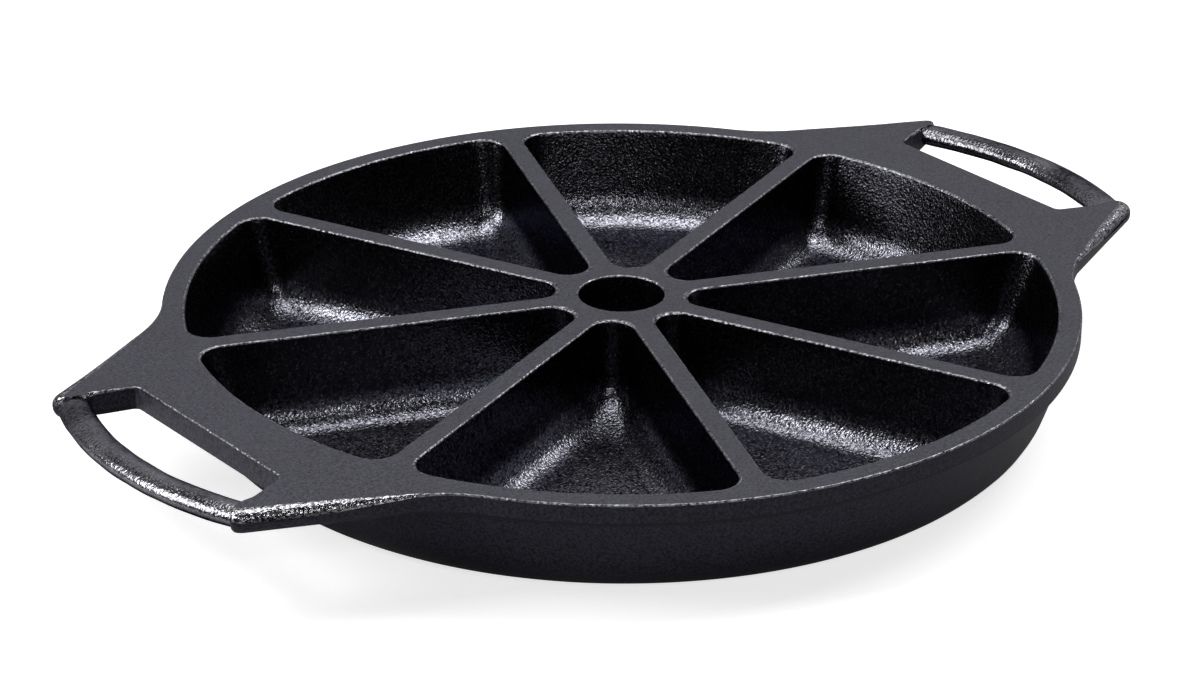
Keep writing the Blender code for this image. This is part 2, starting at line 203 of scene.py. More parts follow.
class Patchwork:
    """Collects grids and flat fills that share vertices, so that the mesh they make is closed."""

    def __init__(self) -> None:
        """Start with nothing."""
        self.points: list[Floats] = []
        self.patches: list[tuple[Ints, Zone, bool]] = []
        self.total = 0

    def add_points(self, points: Floats) -> Ints:
        """Store vertices.

        Args:
            points: Vertices in an array of any shape (..., 3).

        Returns:
            Their numbers, shape (...).
        """
        flat = points.reshape(-1, 3)
        numbers = np.arange(self.total, self.total + len(flat)).reshape(points.shape[:-1])
        self.points.append(flat)
        self.total += len(flat)
        return numbers

    def add_skin(self, numbers: Ints, zone: Zone, columns: Flags | None = None) -> None:
        """Cover a grid of closed rings with quads that face the step round crossed with the step down.

        Args:
            numbers: Vertex numbers, shape (rings, points).
            zone: Finish of the quads.
            columns: Which steps round the rings get quads; all of them if left out.
        """
        after = np.roll(numbers, -1, axis=1)
        quads = np.stack([numbers[:-1], after[:-1], after[1:], numbers[1:]], axis=-1)
        quads = quads if columns is None else quads[:, columns]
        self.patches.append((quads.reshape(-1, 4), zone, True))

    def add_pole(self, ring: Ints, centre: Floats, zone: Zone) -> None:
        """Close a ring of vertex numbers with smooth triangles to one centre point."""
        pole = np.broadcast_to(self.add_points(centre.reshape(1, 3)), ring.shape)
        self.patches.append((np.stack([ring, np.roll(ring, -1), pole], axis=-1), zone, True))

    def add_hollow(self, points: Floats) -> Ints:
        """Cover a blind hollow: a flat band on the top face, the lip, the walls and the floor.

        Args:
            points: Rings from the top face down, shape (rings, points, 3).

        Returns:
            Numbers of the loop on the top face.
        """
        numbers = self.add_points(points)
        self.add_skin(numbers[:2], Zone.GROUND_TOP)
        self.add_skin(numbers[1 : LIP_COUNT + 1], Zone.EDGE)
        self.add_skin(numbers[LIP_COUNT:], Zone.WELL)
        self.add_pole(numbers[-1], points[-1].mean(axis=0), Zone.WELL)
        return numbers[0]

    def add_flat(self, loops: list[Ints], zone: Zone, upward: bool) -> None:
        """Fill the flat region between closed loops with triangles.

        The loops' points are joined by a constrained Delaunay triangulation. A triangle is kept
        where a ray from its middle crosses the loops an odd number of times.

        Args:
            loops: Vertex numbers of each loop, all in one horizontal plane.
            zone: Finish of the region.
            upward: True if the region faces up.
        """
        numbers = np.concatenate(loops)
        flat = np.concatenate(self.points)[numbers, :2] * FLAT_SCALE
        counts = np.array([len(loop) for loop in loops])
        ends = np.cumsum(counts)
        after = np.arange(1, len(numbers) + 1)
        after[ends - 1] = ends - counts
        edges = np.stack([np.arange(len(numbers)), after], axis=-1)
        made = delaunay_2d_cdt([Vector(p) for p in flat.tolist()], edges.tolist(), [], 0, SAME_SPOT)
        source = np.array([kept[0] for kept in made[3]])
        triangles = np.array(made[2])
        corners = np.array([tuple(p) for p in made[0]])[triangles]
        run = corners[:, 1:] - corners[:, :1]
        backward = run[:, 0, 0] * run[:, 1, 1] - run[:, 0, 1] * run[:, 1, 0] < 0.0
        triangles[backward] = triangles[backward][:, ::-1]
        inside = crossings(corners.mean(axis=1), flat, flat[after]) % 2 == 1
        kept = numbers[source[triangles[inside]]]
        self.patches.append((kept if upward else kept[:, ::-1], zone, False))

    def piece(self, name: str) -> bpy.types.Object:
        """Turn the collected patches into one mesh with a material index for each face.

        Args:
            name: Name of the object and of its mesh.

        Returns:
            The object, in the scene.
        """
        made = bpy.data.meshes.new(name)
        faces = [face for block, _, _ in self.patches for face in block.tolist()]
        zones = [np.full(len(block), zone.value, np.int32) for block, zone, _ in self.patches]
        smooth = [np.full(len(block), flag) for block, _, flag in self.patches]
        made.from_pydata(np.concatenate(self.points), [], faces)
        made.polygons.foreach_set("material_index", np.concatenate(zones))
        made.polygons.foreach_set("use_smooth", np.concatenate(smooth))
        made.validate()
        made.update()
        return add_object(name, made)


def add_object(name: str, data: bpy.types.ID) -> bpy.types.Object:
    """Make an object and put it into the scene.

    Args:
        name: Its name.
        data: Its mesh, lamp or camera.

    Returns:
        The object.
    """
    item = bpy.data.objects.new(name, data)
    bpy.context.scene.collection.objects.link(item)
    return item


@dataclass(frozen=True)
class Bowl:
    """Sizes that the sub-assemblies share, and the wall that every hollow has."""

    rim_radius: float = 0.1225
    height: float = 0.0302
    rim_width: float = 0.0061
    flange: float = 0.0061
    overhang: float = 0.0024
    wall_draft: float = math.radians(18.4)
    floor: float = 0.0046
    lip: float = 0.0005
    band: float = 0.00015

    @property
    def well_depth(self) -> float:
        """Depth of the wells' floors below the top face."""
        return self.height - self.floor

    @property
    def flange_bottom(self) -> float:
        """Height of the flange's underside."""
        return self.height - self.flange

    def ring_depths(self, draft: float, fillet: float, wall_count: int, fillet_count: int) -> Floats:
        """Depths of a hollow's rings: down the lip, down the wall, and round the fillet to the floor.

        Args:
            draft: Lean of the wall, in radians.
            fillet: Radius between wall and floor.
            wall_count: Rings on the wall, its ends counted.
            fillet_count: Rings round the fillet.

        Returns:
            Depths below the top face.
        """
        lip = self.lip * (1.0 - np.cos(np.linspace(0.0, QUARTER, LIP_COUNT)))
        tilt = np.linspace(QUARTER - draft, 0.0, fillet_count)
        rounded = self.well_depth - fillet * (1.0 - np.cos(tilt))
        wall = np.linspace(lip[-1], rounded[0], wall_count)[1:-1]
        return np.concatenate([lip, wall, rounded])

    def inset(self, depth: Floats, draft: float, fillet: float) -> Floats:
        """How far a hollow's wall has come in from its top edge at a depth.

        The wall opens out at the top by a quarter circle of the lip's radius, leans in by the
        tangent of its draft, and ends in a circular fillet that is tangent to the wall and the floor.

        Args:
            depth: Depths below the top face.
            draft: Lean of the wall, in radians.
            fillet: Radius between wall and floor.

        Returns:
            Inset at each depth.
        """
        centre_depth = self.well_depth - fillet
        centre_inset = (fillet + centre_depth * math.sin(draft)) / math.cos(draft)
        drop = np.clip(depth - centre_depth, None, fillet)
        rounded = centre_inset - np.sqrt(np.maximum(fillet**2 - drop**2, 0.0))
        rise = np.clip(self.lip - depth, 0.0, self.lip)
        straight = depth * math.tan(draft) - (self.lip - np.sqrt(self.lip**2 - rise**2))
        return np.where(depth > centre_depth + fillet * math.sin(draft), rounded, straight)


@dataclass(frozen=True)
class WedgeWell:
    """One wedge-shaped well; the eight wells are turned copies of its grid."""

    bowl: Bowl
    count: int = 8
    rib_thickness: float = 0.0061
    rib_draft: float = math.radians(3.0)
    rib_fillet: float = 0.0080
    wall_fillet: float = 0.0110
    corner_radii: tuple[float, float] = (0.0068, 0.0050)
    tip_radii: tuple[float, float] = (0.0061, 0.0050)
    wall_count: int = 13
    fillet_count: int = 15
    arc_count: int = 13
    side_count: int = 40
    floor_shares: tuple[float, ...] = (0.93, 0.82, 0.68, 0.52, 0.36, 0.2, 0.08)
    fade_depth: float = 0.004
    waves: MouldWaves = MouldWaves(seed=11, rms=0.000045, shortest=0.007, longest=0.028)

    def outline(self, depth: Floats) -> Floats:
        """Outline of the well about the X axis at each depth, counter-clockwise from above.

        Two straight sides run parallel to the ribs, the outer side is an arc about the pan's middle,
        and the tip and both outer corners are arcs tangent to their neighbours. Their radii go from
        the first of each pair at the top to the second at the floor.

        Args:
            depth: Depths below the top face, shape (rings,).

        Returns:
            Points, shape (rings, points, 2).
        """
        bowl, arc_count, side_count = self.bowl, self.arc_count, self.side_count
        share = depth / bowl.well_depth
        half = math.pi / self.count
        across = QUARTER - half
        side = self.rib_thickness / 2.0 + bowl.inset(depth, self.rib_draft, self.rib_fillet)
        outer = bowl.rim_radius - bowl.rim_width - bowl.inset(depth, bowl.wall_draft, self.wall_fillet)
        corner, tip = blend(*self.corner_radii, share), blend(*self.tip_radii, share)
        reach = np.sqrt((outer - corner) ** 2 - (side + corner) ** 2)
        turn = half - np.arctan2(side + corner, reach)
        even, mirror = np.ones_like(depth), np.array([1.0, -1.0])
        tip_middle = np.stack([(side + tip) / math.sin(half), 0.0 * even], axis=-1)
        low_middle = (outer - corner)[:, None] * polar(-turn)
        tip_arc = moving_arc(tip_middle, tip, (np.pi - across) * even, (np.pi + across) * even, arc_count)
        low_arc = moving_arc(low_middle, corner, (-across - 2.0 * half) * even, -turn, arc_count)
        far_arc = moving_arc(0.0 * tip_middle, outer, -turn, turn, side_count)
        low_side = between(tip_arc[:, -1], low_arc[:, 0], side_count)
        high = [low_arc[:, ::-1] * mirror, low_side[:, ::-1] * mirror]
        return np.concatenate([tip_arc, low_side, low_arc, far_arc[:, 1:-1], *high], axis=1)

    def grid(self, index: int) -> Floats:
        """Rings of one well: a flat band on the top face, the lip, the walls, and the floor.

        The floor's rings are the last outline drawn in towards its middle. The slight swell of the
        mould moves each point along the normal, and fades out at the lip.

        Args:
            index: Which well, counted round from the X axis.

        Returns:
            Points, shape (rings, points, 3).
        """
        bowl = self.bowl
        depth = bowl.ring_depths(bowl.wall_draft, self.wall_fillet, self.wall_count, self.fillet_count)
        flat = self.outline(depth)
        band = flat[:1] - loop_outward(flat[:1]) * bowl.band
        floor = blend(flat[-1].mean(axis=0), flat[-1], np.array(self.floor_shares)[:, None, None])
        depth = np.concatenate([[0.0], depth, np.full(len(floor), depth[-1])])
        points = lifted(np.concatenate([band, flat, floor]), bowl.height - depth[:, None])
        fade = smooth_step((depth - bowl.lip) / self.fade_depth)[:, None, None]
        points = points + grid_normals(points) * self.waves.swell(points, index)[..., None] * fade
        ahead, aside = polar(2.0 * math.pi / self.count * index)
        return points @ np.array([[ahead, aside, 0.0], [-aside, ahead, 0.0], [0.0, 0.0, 1.0]])

    def build(self, patches: Patchwork) -> list[Ints]:
        """Add the eight wells and return the loops where they meet the top face."""
        return [patches.add_hollow(self.grid(index)) for index in range(self.count)]


@dataclass(frozen=True)
class HubHollow:
    """The round blind hollow in the hub."""

    bowl: Bowl
    radius: float = 0.0115
    draft: float = math.radians(3.0)
    fillet: float = 0.0030
    wall_count: int = 9
    fillet_count: int = 8
    floor_shares: tuple[float, ...] = (0.7, 0.35)
    points_round: int = 96

    def grid(self) -> Floats:
        """Rings of a turned surface: each is the circle whose radius is the top one less the inset.

        Returns:
            Points, shape (rings, points, 3).
        """
        bowl = self.bowl
        depth = bowl.ring_depths(self.draft, self.fillet, self.wall_count, self.fillet_count)
        radius = self.radius - bowl.inset(depth, self.draft, self.fillet)
        radius = np.concatenate([[radius[0] + bowl.band], radius, radius[-1] * np.array(self.floor_shares)])
        depth = np.concatenate([[0.0], depth, np.full(len(self.floor_shares), bowl.well_depth)])
        angle = np.linspace(0.0, 2.0 * np.pi, self.points_round, endpoint=False)
        return turned(np.stack([radius, bowl.height - depth], axis=-1), angle)

    def build(self, patches: Patchwork) -> Ints:
        """Add the hollow and return the loop where it meets the top face."""
        return patches.add_hollow(self.grid())


class Run(NamedTuple):
    """A stretch of the flange's loop: its points, its outward directions and its edge traits.

    The traits of a point are, in order, how far the rounded top edge reaches in and down, how far the
    lower edge reaches in and up, and how far the wall leans out over its height. The retreat is a
    further shift of the flat's border, which mitres the edge at the ear's tip.
    """

    points: Floats
    outward: Floats
    retreat: Floats
    traits: Floats

    def mirrored(self) -> "Run":
        """The same stretch in the mirror of the XZ plane, run the other way round."""
        flipped = [part[::-1] * [1.0, -1.0] for part in self[:3]]
        return Run(*flipped, self.traits[::-1])

    def half_turned(self) -> "Run":
        """The same stretch turned half round the Z axis."""
        return Run(-self.points, -self.outward, -self.retreat, self.traits)


def joined(*runs: Run) -> Run:
    """Stretches laid end to end."""
    return Run(*(np.concatenate(parts) for parts in zip(*runs)))


@dataclass(frozen=True)
class Flange:
    """The flat rim with its two handle plates, as one loop round the pan and through both slots.

    The slot's traits start at the first share of the end wall in slot_blend and grow over the second.
    The lower edge takes the share lower_mitre of the mitre's shift. The ears' finish starts where the
    edge drops round_from times as far as the rim's.
    """

    bowl: Bowl
    handle_reach: float = 0.0370
    shoulder_radius: float = 0.0360
    ear_setback: float = 0.0125
    ear_half_span: float = 0.0443
    ear_angle: float = math.radians(24.5)
    ear_corner_radius: float = 0.0050
    ear_tip_radius: float = 0.0022
    ear_margin: float = 0.0010
    grip_width: float = 0.0090
    grip_arc_radius: float = 0.0980
    rim_edge: Traits = (0.00045, 0.00045, 0.0009, 0.0009, 0.0)
    ear_edge: Traits = (0.0030, 0.0030, 0.0028, 0.0028, 0.0)
    tip_edge: Traits = (0.0013, 0.0027, 0.0013, 0.0028, 0.0)
    end_edge: Traits = (0.0005, 0.0007, 0.0005, 0.0005, 0.0012)
    slot_edge: Traits = (0.00035, 0.00035, 0.0005, 0.0005, 0.0006)
    ear_start: float = 0.1040
    top_growth: float = 0.0390
    lower_growth: float = 0.0090
    tip_blend: float = 0.0070
    end_angle: float = math.radians(22.45)
    end_tilt: float = math.radians(3.0)
    slot_wall: float = 0.1323
    slot_corner_radius: float = 0.0020
    slot_blend: tuple[float, float] = (0.55, 0.5)
    lower_mitre: float = 0.7
    round_from: float = 1.6
    same_spot: float = 1e-5
    rim_count: int = 120
    bend_count: int = 34
    edge_count: int = 46
    ear_count: int = 20
    end_count: int = 40
    slot_corner_count: int = 16
    slot_count: int = 36
    round_count: int = 9
    side_count: int = 4

    @property
    def reach_end(self) -> float:
        """Where the right handle ends on the X axis."""
        return self.bowl.rim_radius + self.handle_reach

    @property
    def grip_middle(self) -> Floats:
        """Centre of the right grip's arc."""
        return np.array([self.reach_end - self.grip_width / 2.0 - self.grip_arc_radius, 0.0])

    @property
    def end_pivot(self) -> Floats:
        """Where the right +Y ear's end wall meets the grip's inner side."""
        return self.grip_middle + polar(self.end_angle) * (self.grip_arc_radius - self.grip_width / 2.0)

    @property
    def end_turn(self) -> float:
        """Direction of that end wall in plan, as an angle from the X axis."""
        return self.end_angle - self.end_tilt

    @property
    def end_facing(self) -> Floats:
        """Unit vector out of the iron through that end wall."""
        return -polar(self.end_turn + QUARTER)

    def near_tip(self, points: Floats, tip: Floats) -> Floats:
        """Weight, shape (n, 1), that eases from 1 on the tip's arc to 0 at the blend's length from it."""
        gone = np.linalg.norm(points - tip, axis=1, keepdims=True) - self.ear_tip_radius
        return 1.0 - smooth_step(gone / self.tip_blend)

    def mitre(self, ear_stop: float) -> Floats:
        """Shift of the flat's border at the tip, to where the ear's edge and the end's edge meet."""
        along = polar(ear_stop) * (self.ear_edge[0] - self.tip_edge[0])
        return -along - self.end_facing * (self.end_edge[0] - self.tip_edge[0])

    def rim_traits(self, points: Floats) -> Floats:
        """Edge traits that ease from the rim's into the ear's along X, the lower ones sooner.

        Args:
            points: Points of the loop, shape (n, 2).

        Returns:
            Traits, shape (n, 5).
        """
        growth = np.array([self.top_growth] * 2 + [self.lower_growth] * 3)
        past = np.abs(points[:, :1]) - self.ear_start
        return blend(self.rim_edge, self.ear_edge, smooth_step(past / growth))

    def ear_side(self) -> tuple[Run, float]:
        """From the +Y side of the rim, clockwise round the shoulder and the ear to its tip.

        The arcs are tangent to their neighbours, and the last one rounds the tip into the ear's end
        wall, which is a straight line through its pivot.

        Returns:
            The stretch and the outward angle where the tip's arc starts.
        """
        rim_radius, shoulder = self.bowl.rim_radius, self.shoulder_radius
        ear_radius, tip_radius = self.ear_corner_radius, self.ear_tip_radius
        corner = np.array([self.reach_end - self.ear_setback, self.ear_half_span])
        way = polar(-self.ear_angle)
        out = np.array([-way[1], way[0]])
        bend_middle = line_meets_circle(corner + out * shoulder, way, np.zeros(2), rim_radius + shoulder)
        ear_outer = self.grip_arc_radius + self.grip_width / 2.0 + self.ear_margin
        inner = corner - out * ear_radius
        ear_middle = line_meets_circle(inner, way, self.grip_middle, ear_outer - ear_radius)
        tip_start = self.end_pivot - self.end_facing * tip_radius
        tip_middle = line_meets_circle(tip_start, polar(self.end_turn), ear_middle, ear_radius - tip_radius)
        rim_stop = math.atan2(bend_middle[1], bend_middle[0])
        ear_stop = math.atan2(tip_middle[1] - ear_middle[1], tip_middle[0] - ear_middle[0])
        rim = polar(np.linspace(QUARTER, rim_stop, self.rim_count))
        bend = polar(np.linspace(rim_stop + math.pi, 3.0 * QUARTER - self.ear_angle, self.bend_count)[1:])
        ear = polar(np.linspace(QUARTER - self.ear_angle, ear_stop, self.ear_count))
        tip = polar(np.linspace(ear_stop, self.end_turn - QUARTER, self.ear_count)[1:])
        bend_points = bend_middle + shoulder * bend
        ear_points = ear_middle + ear_radius * ear
        edge_points = between(bend_points[None, -1], ear_points[None, 0], self.edge_count)[0]
        tip_points = tip_middle + tip_radius * tip
        points = np.concatenate([rim_radius * rim, bend_points, edge_points, ear_points, tip_points])
        outward = np.concatenate([rim, -bend, np.broadcast_to(out, edge_points.shape), ear, tip])
        near = self.near_tip(points, tip_middle)
        traits = blend(self.rim_traits(points), self.tip_edge, near)
        return Run(points, outward, near * self.mitre(ear_stop), traits), ear_stop

    def slot_side(self, start: Floats, ear_stop: float) -> Run:
        """From the ear's tip, along its end wall and round the slot's corner to its long wall's middle.

        The traits ease from the tip's into the end wall's, and on into the slot's sharp ones.

        Args:
            start: Last point of the ear's side, on the end wall.
            ear_stop: Outward angle where the tip's arc starts.

        Returns:
            The stretch.
        """
        ray, facing, radius = polar(self.end_turn), self.end_facing, self.slot_corner_radius
        along = (self.slot_wall + radius - self.end_pivot[0] - facing[0] * radius) / ray[0]
        corner = polar(np.linspace(self.end_turn + QUARTER, math.pi, self.slot_corner_count))
        corner_points = self.end_pivot + ray * along + facing * radius + radius * corner
        wall_points = between(start[None], corner_points[None, 0], self.end_count)[0]
        slot_middle = np.array([[self.slot_wall, 0.0]])
        side_points = between(corner_points[None, -1], slot_middle, self.slot_count)[0]
        points = np.concatenate([wall_points, corner_points, side_points])
        wall_facing = np.broadcast_to(facing, wall_points.shape)
        side_facing = np.broadcast_to([1.0, 0.0], side_points.shape)
        outward = np.concatenate([wall_facing, -corner, side_facing])
        near = self.near_tip(points, start - facing * self.ear_tip_radius)
        gone = np.linalg.norm(points - start, axis=1) / np.linalg.norm(corner_points[0] - start)
        last = smooth_step((gone - self.slot_blend[0]) / self.slot_blend[1])[:, None]
        traits = blend(blend(self.tip_edge, self.end_edge, 1.0 - near), self.slot_edge, last)
        return Run(points, outward, near * self.mitre(ear_stop), traits)

    def loop(self) -> Run:
        """The whole loop, clockwise: the right handle's two sides and mirror, then half a turn.

        Returns:
            The loop, with no point twice.
        """
        ear, ear_stop = self.ear_side()
        quarter = joined(ear, self.slot_side(ear.points[-1], ear_stop))
        right = joined(quarter, quarter.mirrored())
        whole = joined(right, right.half_turned())
        apart = np.linalg.norm(whole.points - np.roll(whole.points, 1, axis=0), axis=1)
        return Run(*(part[apart > self.same_spot] for part in whole))

    def grid(self, loop: Run) -> Floats:
        """Rings down the rounded edge, from a flat band on top to a flat band below.

        The top edge is a quarter of an ellipse: a ring lies inward from the loop by one less the
        sine of the tilt and down from the face by one less its cosine, each times its own reach. The
        lower edge is the same upside down, and a leaning wall moves out evenly with depth.

        Args:
            loop: The whole loop.

        Returns:
            Points, shape (rings, points, 3).
        """
        bowl = self.bowl
        top_in, top_down, low_in, low_up, lean = loop.traits.T
        tilt = np.linspace(0.0, QUARTER, self.round_count)[:, None]
        border, sunk = 1.0 - np.sin(tilt), 1.0 - np.cos(tilt)
        down = bowl.height - top_down * sunk
        up = (bowl.flange_bottom + low_up * sunk)[::-1]
        share = np.linspace(0.0, 1.0, self.side_count)[1:-1, None]
        side = blend(down[-1:], up[:1], share)
        height = np.concatenate([down[:1], down, side, up, up[-1:]])
        inset_top, inset_low = top_in * border, (low_in * border)[::-1]
        bands = inset_top[:1] + bowl.band, inset_low[-1:] + bowl.band
        inset = np.concatenate([bands[0], inset_top, 0.0 * side, inset_low, bands[1]])
        inset = inset + lean * (height - (bowl.height - bowl.flange / 2.0)) / bowl.flange
        lower = self.lower_mitre * border
        back = np.concatenate([border[:1], border, 0.0 * share, lower[::-1], lower[:1]])
        flat = loop.points - loop.outward * inset[..., None] + loop.retreat * back[..., None]
        return lifted(flat, height)

    def build(self, patches: Patchwork) -> tuple[Ints, Ints]:
        """Add the edge: worn on the rim, rounder on the ears, as cast below; the slots' long walls carry
        the top face's lighter finish as painted light, and their end walls the skin's darker one, partly
        painted shade.

        Args:
            patches: Where the edge goes.

        Returns:
            The loops where it meets the top face and the underside.
        """
        loop = self.loop()
        numbers = patches.add_points(self.grid(loop))
        reach, drop = loop.traits[:, :2].T
        lit_slot_wall = reach == self.slot_edge[0]
        round_ear = drop > self.round_from * self.rim_edge[1]
        patches.add_skin(numbers[:2], Zone.GROUND_TOP)
        patches.add_skin(numbers[1 : self.round_count + 1], Zone.EAR, round_ear)
        patches.add_skin(numbers[1 : self.round_count + 1], Zone.EDGE, ~round_ear)
        # The slots' long walls take the top face's lighter finish, painted light; the end walls take the
        # skin's darker as-cast finish, which also stands in for their shade.
        patches.add_skin(numbers[self.round_count :], Zone.SKIN, ~lit_slot_wall)
        patches.add_skin(numbers[self.round_count :], Zone.GROUND_TOP, lit_slot_wall)
        return numbers[0], numbers[-1]


@dataclass(frozen=True)
class BowlSkin:
    """The bowl's leaning outer wall, its rounded foot and the flat underside."""

    bowl: Bowl
    foot_radius: float = 0.0128
    neck_fillet: float = 0.0005
    neck_count: int = 7
    wall_count: int = 6
    foot_count: int = 15
    under_shares: tuple[float, ...] = (0.85, 0.6, 0.3, 0.1)
    points_round: int = 320
    fade_start: float = 0.001
    fade_top: float = 0.004
    fade_foot: float = 0.006
    waves: MouldWaves = MouldWaves(seed=5, rms=0.00004, shortest=0.010, longest=0.040)

    def profile(self) -> Floats:
        """Radius and height down the wall: neck fillet, straight lean, foot arc, flat underside.

        Both arcs are tangent to the flat they leave and to the leaning wall.

        Returns:
            Points, shape (rings, 2).
        """
        draft, low = self.bowl.wall_draft, self.bowl.flange_bottom
        neck_radius, foot_radius = self.neck_fillet, self.foot_radius
        top_radius = self.bowl.rim_radius - self.bowl.overhang
        neck_middle = top_radius + neck_radius * math.tan((QUARTER - draft) / 2.0)
        foot_middle = top_radius - (low - foot_radius) * math.tan(draft) - foot_radius / math.cos(draft)
        neck = arc((neck_middle, low - neck_radius), neck_radius, QUARTER, np.pi - draft, self.neck_count)
        foot = arc((foot_middle, foot_radius), foot_radius, -draft, -QUARTER, self.foot_count)
        wall = between(neck[None, -1], foot[None, 0], self.wall_count)[0]
        under = np.array(self.under_shares)[:, None] * [foot_middle, 0.0]
        return np.concatenate([neck[:1] + [self.bowl.band, 0.0], neck, wall, foot, under])

    def grid(self) -> Floats:
        """The profile turned clockwise about the pan's axis, with the mould's swell on the wall.

        Returns:
            Points, shape (rings, points, 3).
        """
        angle = np.linspace(2.0 * np.pi, 0.0, self.points_round, endpoint=False)
        points = turned(self.profile(), angle)
        height = points[..., 2]
        fade = smooth_step((self.bowl.flange_bottom - self.fade_start - height) / self.fade_top)
        swell = self.waves.swell(points) * fade * smooth_step(height / self.fade_foot)
        return points + grid_normals(points) * swell[..., None]

    def build(self, patches: Patchwork) -> Ints:
        """Add the skin.

        Args:
            patches: Where the skin goes.

        Returns:
            The loop where it meets the flange's underside.
        """
        numbers = patches.add_points(self.grid())
        patches.add_skin(numbers, Zone.SKIN)
        patches.add_pole(numbers[-1], np.zeros(3), Zone.SKIN)
        return numbers[0]


class NodePaper:
    """A short way to place and join nodes in one tree."""

    def __init__(self, tree: Tree) -> None:
        """Work on the given tree."""
        self.tree = tree

    def feed(self, node: Node, inputs: dict[str | int, object]) -> None:
        """Give inputs of a node, by name or number, a plain value or the output to link from.

        Args:
            node: The node.
            inputs: What each input gets.
        """
        for label, value in inputs.items():
            if isinstance(value, Socket):
                self.tree.links.new(value, node.inputs[label])
            else:
                node.inputs[label].default_value = value

    def place(self, kind: str, inputs: dict[str | int, object] | None = None, **settings: object) -> Node:
        """Add a node.

        Args:
            kind: Type of the node.
            inputs: What its inputs get.
            settings: Its attributes, set before its inputs.

        Returns:
            The node.
        """
        node = self.tree.nodes.new(kind)
        for name, value in settings.items():
            setattr(node, name, value)
        self.feed(node, inputs or {})
        return node

    def math(self, operation: str, first: Socket, second: Socket | float) -> Socket:
        """The output of a Math node on two linked or plain numbers."""
        return self.place("ShaderNodeMath", {0: first, 1: second}, operation=operation).outputs[0]

    def noise(self, where: Socket, scale: Socket, detail: float, roughness: float = 0.5) -> Socket:
        """The value of a Noise texture, about one half on average."""
        inputs = {"Vector": where, "Scale": scale, "Detail": detail, "Roughness": roughness}
        return self.place("ShaderNodeTexNoise", inputs).outputs["Fac"]

    def mix(self, kind: str, factor: Socket, first: object, last: object) -> Socket:
        """The output of a Mix node of the kind named, on linked or plain numbers or colours."""
        inputs = {"Factor": factor, "A": first, "B": last}
        return self.place("ShaderNodeMix", inputs, data_type=kind).outputs["Result"]

    def remap(self, value: Socket, low: float, high: float, to: tuple[float, float]) -> Socket:
        """A number moved from low..high to the pair of numbers, held at both ends."""
        inputs = {"Value": value, "From Min": low, "From Max": high, "To Min": to[0], "To Max": to[1]}
        return self.place("ShaderNodeMapRange", inputs).outputs["Result"]


def start_group(name: str, inputs: dict[str, float], output: str) -> tuple[NodePaper, Sockets, Node]:
    """Start a shader node group with a Place vector, number inputs and one number output.

    Args:
        name: Name of the group.
        inputs: Number inputs with their default values.
        output: Name of the output.

    Returns:
        The paper on its tree, the sockets that the inputs arrive at, and the node that ends it.
    """
    tree = bpy.data.node_groups.new(name, "ShaderNodeTree")
    tree.interface.new_socket("Place", in_out="INPUT", socket_type="NodeSocketVector")
    for label, value in inputs.items():
        entry = tree.interface.new_socket(label, in_out="INPUT", socket_type="NodeSocketFloat")
        entry.default_value = value
    tree.interface.new_socket(output, in_out="OUTPUT", socket_type="NodeSocketFloat")
    paper = NodePaper(tree)
    return paper, paper.place("NodeGroupInput").outputs, paper.place("NodeGroupOutput")


def cast_grain_group() -> Tree:
    """Height of an as-cast surface: rounded orange peel with the finer marks of sand grains on it.

    Returns:
        The group.
    """
    inputs = {"Peel": 1300.0, "Sand": 1800.0, "Sand share": 0.35}
    paper, given, outlet = start_group("cast_grain", inputs, "Height")
    peel = paper.noise(given["Place"], given["Peel"], detail=1.5, roughness=0.45)
    sand = paper.noise(given["Place"], given["Sand"], detail=0.0)
    marks = paper.math("MULTIPLY", sand, given["Sand share"])
    paper.feed(outlet, {"Height": paper.math("ADD", peel, marks)})
    return paper.tree


def seasoning_group() -> Tree:
    """Mask of the baked oil's uneven coat: broad clouds with fine speckle, from 0 to 1.

    Returns:
        The group.
    """
    inputs = {"Clouds": 45.0, "Speckle": 2600.0, "Speckle share": 0.5}
    paper, given, outlet = start_group("seasoning", inputs, "Mask")
    clouds = paper.noise(given["Place"], given["Clouds"], detail=3.0)
    speckle = paper.noise(given["Place"], given["Speckle"], detail=1.0)
    both = paper.mix("FLOAT", given["Speckle share"], clouds, speckle)
    paper.feed(outlet, {"Mask": paper.remap(both, *COAT_RANGE, (0.0, 1.0))})
    return paper.tree


def start_material(name: str) -> tuple[Material, NodePaper, Node]:
    """Start a material with nodes.

    Args:
        name: Its name.

    Returns:
        The material, the paper on its tree and its Principled shader.
    """
    made = bpy.data.materials.new(name)
    made.use_nodes = True
    return made, NodePaper(made.node_tree), made.node_tree.nodes["Principled BSDF"]


@dataclass(frozen=True)
class PaintedShade:
    """Painted shade by height: the light colour's share near a level and away from it, darkening a band of
    the surface.
    """

    near: float
    far: float
    level: float = 0.0
    near_share: float = 1.0
    far_share: float = 1.0

    def share(self, paper: NodePaper, height: Socket) -> Socket:
        """The share at a height, blended over the distances near and far from the level."""
        distance = paper.math("ABSOLUTE", paper.math("SUBTRACT", height, self.level), 0.0)
        return paper.remap(distance, self.near, self.far, (self.near_share, self.far_share))


